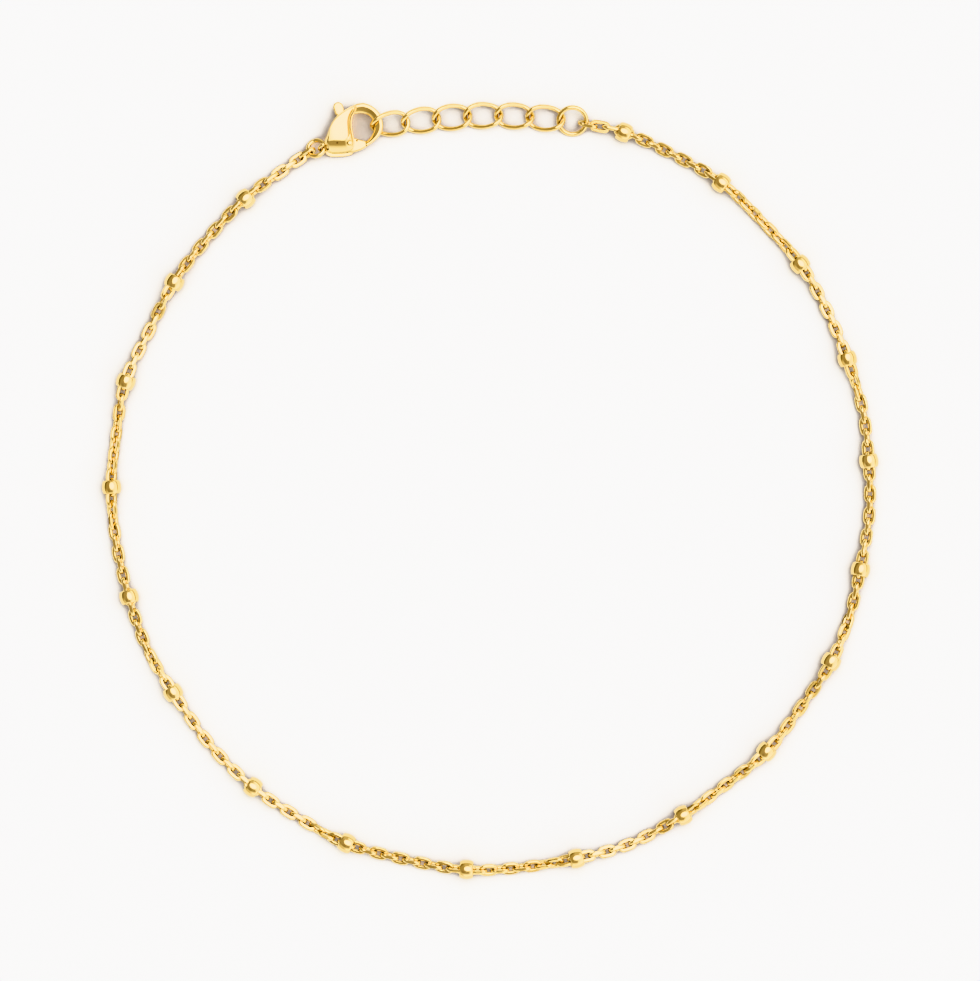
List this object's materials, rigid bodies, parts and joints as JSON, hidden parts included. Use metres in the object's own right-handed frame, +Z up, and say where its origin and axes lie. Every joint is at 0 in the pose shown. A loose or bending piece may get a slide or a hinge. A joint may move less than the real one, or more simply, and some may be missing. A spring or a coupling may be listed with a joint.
{
  "type": "chain anklet",
  "caption": "Gold ankle chain lying in a closed loop: fine cable chain with small rondelle beads, curb-link extender and a lobster clasp hooked into its first link.",
  "frame": {"origin": "bottom centre of the bounding box, which is the middle of the loop on the surface it lies on", "axes": "+Z up from the surface, +Y from the middle of the loop towards the clasp and extender, +X from the clasp towards the end ring"},
  "size_m": [0.0828, 0.0829, 0.0024],
  "materials": {
    "chain_gold": "polished gold plate",
    "bead_gold": "polished gold plate",
    "extender_gold": "polished gold plate",
    "clasp_gold": "polished gold plate"
  },
  "bodies": {
    "anklet": {"cable_chain": "chain_gold", "bead_01": "bead_gold", "bead_02": "bead_gold", "bead_03": "bead_gold", "bead_04": "bead_gold", "bead_05": "bead_gold", "bead_06": "bead_gold", "bead_07": "bead_gold", "bead_08": "bead_gold", "bead_09": "bead_gold", "bead_10": "bead_gold", "bead_11": "bead_gold", "bead_12": "bead_gold", "bead_13": "bead_gold", "bead_14": "bead_gold", "bead_15": "bead_gold", "bead_16": "bead_gold", "bead_17": "bead_gold", "bead_18": "bead_gold", "bead_19": "bead_gold", "end_ring": "extender_gold", "extender_link_1": "extender_gold", "extender_link_2": "extender_gold", "extender_link_3": "extender_gold", "extender_link_4": "extender_gold", "extender_link_5": "extender_gold", "extender_link_6": "extender_gold", "jump_ring": "extender_gold", "clasp_body": "clasp_gold"},
    "lever": {"clasp_lever": "clasp_gold"}
  },
  "joints": [
    {"name": "lever_hinge", "type": "hinge", "parent": "anklet", "child": "lever", "pos_m": [-0.01494, 0.03694, 0.00101], "axis": [0, 0, 1], "range_deg": [0, 22], "stiffness_Nm_per_rad": 0.002}
  ]
}
